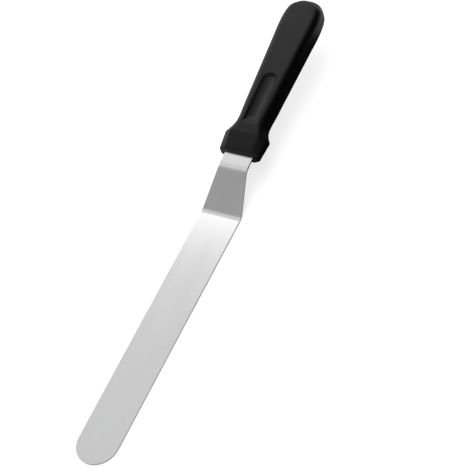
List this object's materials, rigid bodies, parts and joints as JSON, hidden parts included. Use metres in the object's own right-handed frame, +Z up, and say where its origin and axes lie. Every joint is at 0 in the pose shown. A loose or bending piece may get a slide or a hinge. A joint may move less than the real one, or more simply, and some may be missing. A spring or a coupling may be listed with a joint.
{
  "type": "offset spatula",
  "caption": "Offset spatula: a long thin steel blade with a round tip and a cranked neck, in a flared black plastic handle with a thumb groove.",
  "frame": {"origin": "on the surface that the blade's flat lies on, under the middle of the whole length and width", "axes": "+X along the object to the blade's tip, +Y across the blade, +Z up, square to the blade's flat"},
  "size_m": [0.3882, 0.0362, 0.0372],
  "materials": {
    "blade_steel": "satin, brushed along the blade",
    "core_plastic": "plain as moulded",
    "grip_plastic": "fine matt grain"
  },
  "bodies": {
    "root": {"blade": "blade_steel", "handle_core": "core_plastic", "handle_grip": "grip_plastic"}
  },
  "joints": []
}
